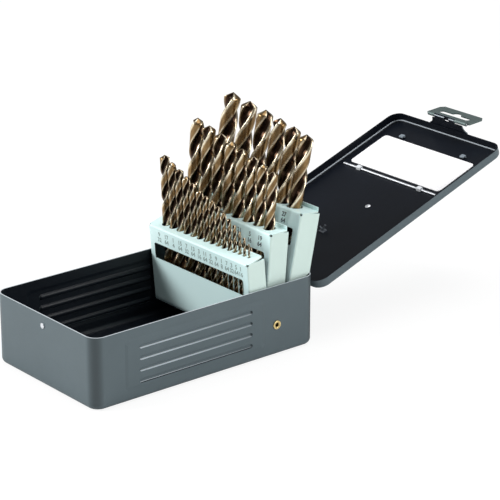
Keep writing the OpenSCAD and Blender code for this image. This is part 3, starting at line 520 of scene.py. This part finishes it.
twist = calc("ADD", calc("MULTIPLY", turns, 2 * math.pi), given["Start"])
spot = drill_tree.nodes.new("ShaderNodeCombineXYZ")
drill_tree.links.new(calc("MULTIPLY", reach, calc("COSINE", twist)), spot.inputs[0])
drill_tree.links.new(calc("MULTIPLY", reach, calc("SINE", twist)), spot.inputs[1])
drill_tree.links.new(height, spot.inputs[2])


def near_line(at, reach_of_it):
    """1 on the line that winds up at this share of the half turn, fading to 0 beside it."""
    off = calc("ABSOLUTE", calc("SUBTRACT", half_turn, at))
    off = calc("MINIMUM", off, calc("SUBTRACT", 1, off))
    return calc("SUBTRACT", 1, calc("DIVIDE", off, reach_of_it), clamp=True)


# Painted highlight lines, strongest at the margin and weaker at the heel, kept on the points for
# the straw finish.
heel_painted_highlight = calc("MULTIPLY", near_line(0.46, 0.06), 0.6)
margin_painted_highlight = calc("MULTIPLY", calc("MAXIMUM", near_line(0.05, 0.1), heel_painted_highlight), run_out)
marked = grid.outputs["Mesh"]
for name, share in (("flute", calc("MULTIPLY", scoop, run_out)), ("margin_painted_highlight", margin_painted_highlight)):
    keep = drill_tree.nodes.new("GeometryNodeStoreNamedAttribute")
    keep.data_type = "FLOAT"
    keep.inputs["Name"].default_value = name
    drill_tree.links.new(marked, keep.inputs["Geometry"])
    drill_tree.links.new(share, keep.inputs["Value"])
    marked = keep.outputs[0]
shape = drill_tree.nodes.new("GeometryNodeSetPosition")
drill_tree.links.new(marked, shape.inputs["Geometry"])
drill_tree.links.new(spot.outputs[0], shape.inputs["Position"])
weld = drill_tree.nodes.new("GeometryNodeMergeByDistance")
weld.inputs["Distance"].default_value = 0.000002
drill_tree.links.new(shape.outputs[0], weld.inputs["Geometry"])
solid = drill_tree.nodes.new("GeometryNodeRealizeInstances")
drill_tree.links.new(weld.outputs[0], solid.inputs[0])
coat = drill_tree.nodes.new("GeometryNodeSetMaterial")
drill_tree.links.new(solid.outputs[0], coat.inputs["Geometry"])
drill_tree.links.new(given["Finish"], coat.inputs["Material"])
drill_tree.links.new(coat.outputs[0], drill_tree.nodes.new("NodeGroupOutput").inputs[0])


def grown(name, tree, values):
    """The mesh that a Geometry Nodes tree makes with these inputs."""
    seed = bpy.data.objects.new(name, bpy.data.meshes.new(name))
    bpy.context.scene.collection.objects.link(seed)
    modifier = seed.modifiers.new("grow", "NODES")
    modifier.node_group = tree
    for socket in tree.interface.items_tree:
        if socket.in_out == "INPUT" and socket.name in values:
            modifier[socket.identifier] = values[socket.name]
    ready = seed.evaluated_get(bpy.context.evaluated_depsgraph_get())
    mesh = bpy.data.meshes.new_from_object(ready)
    bpy.data.objects.remove(seed)
    return mesh


def piece(name, mesh, body):
    """A finished piece at the origin, riding on a body."""
    mesh.name = name
    made = bpy.data.objects.new(name, mesh)
    bpy.context.scene.collection.objects.link(made)
    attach(made, body)
    return made


def outward_faces(mesh):
    work = bmesh.new()
    work.from_mesh(mesh)
    bmesh.ops.recalc_face_normals(work, faces=work.faces)
    for face in work.faces:
        face.smooth = True
    work.to_mesh(mesh)
    work.free()


inch = 0.0254
shank_share = 0.26
lead_radii = 10.8
half_point = math.radians(59)
for tier, sizes in tier_rows.items():
    upright = Matrix.Translation(pivot) @ Matrix.Rotation(math.radians(-bit_lean[tier]), 4, "X")
    for n in sizes:
        node = f"drill_{n:02d}_64"
        seen = [upright.inverted() @ v.co for v in nodes[node].data.vertices]
        low_end = min(v.z for v in seen)
        radius = inch * n / 128
        centre = [(min(v[i] for v in seen) + max(v[i] for v in seen)) / 2 for i in (0, 1)]
        length = max(v.z for v in seen) - low_end
        mesh = grown(node + "_ground", drill_tree, {
            "Radius": radius, "Length": length, "Shank": shank_share * length,
            "Lead": lead_radii * radius, "Tip": radius / math.tan(half_point),
            "Start": 2.4 * n, "Around": 73, "Rows": 150, "Finish": straw.material,
        })
        mesh.transform(upright @ Matrix.Translation((*centre, low_end)))
        outward_faces(mesh)
        ground = piece(node + "_ground", mesh, f"bit_{n:02d}")
        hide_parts(node)

# ---- Size numbers ----
# Bit sizes printed in dark ink on the band of each tier, numerator above
# denominator, one pair under every hole.
figure_height = 0.0045
ink_thickness = 0.00002
stroke_weight = 0.00011
faded_ink = Paint("faded_ink")
faded_ink.colour(faded_ink.mottled(2500, rgb(124, 148, 146), rgb(160, 182, 178)))
faded_ink.rough(0.5, 0.1, 900)
ink = Paint("printed_ink")
ink.colour(ink.mottled(2500, rgb(34, 46, 54), rgb(66, 80, 86)))
ink.rough(0.5, 0.1, 900)


def print_row(words, lift):
    """Flat raised figures: each word is (text, x, height), centred, in the band's own plane."""
    whole = bmesh.new()
    stand = Matrix.Rotation(math.radians(90), 4, "X")
    for text, at, high in words:
        curve = bpy.data.curves.new("figures", "FONT")
        curve.body = text
        curve.size = figure_height
        curve.align_x = "CENTER"
        curve.extrude = ink_thickness
        curve.offset = stroke_weight
        curve.resolution_u = 3
        made = bpy.data.objects.new("figures", curve)
        bpy.context.scene.collection.objects.link(made)
        ready = made.evaluated_get(bpy.context.evaluated_depsgraph_get())
        flat = bpy.data.meshes.new_from_object(ready)
        bpy.data.objects.remove(made)
        flat.transform(Matrix.Translation((at, lift, high)) @ stand)
        whole.from_mesh(flat)
    mesh = bpy.data.meshes.new("figures")
    whole.to_mesh(mesh)
    whole.free()
    return mesh


print_bands = {
    "small": (0.0442, 0.0402, faded_ink),
    "medium": (0.0578, 0.0534, ink),
    "large": (0.0720, 0.0676, ink),
}
for tier, (top_row, low_row, tone) in print_bands.items():
    upright = Matrix.Translation(pivot) @ Matrix.Rotation(math.radians(-tier_lean[tier]), 4, "X")
    words = []
    for n in tier_rows[tier]:
        at = sum(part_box(f"drill_{n:02d}_64")[i][0] for i in (0, 1)) / 2
        share = math.gcd(n, 64)
        words.append((str(n // share), at, top_row))
        words.append((str(64 // share), at, low_row))
    figures = print_row(words, tier_front[tier] - ink_thickness)
    figures.transform(upright)
    figures.materials.append(tone.material)
    piece(f"figures_{tier}", figures, f"tier_{tier}_body")
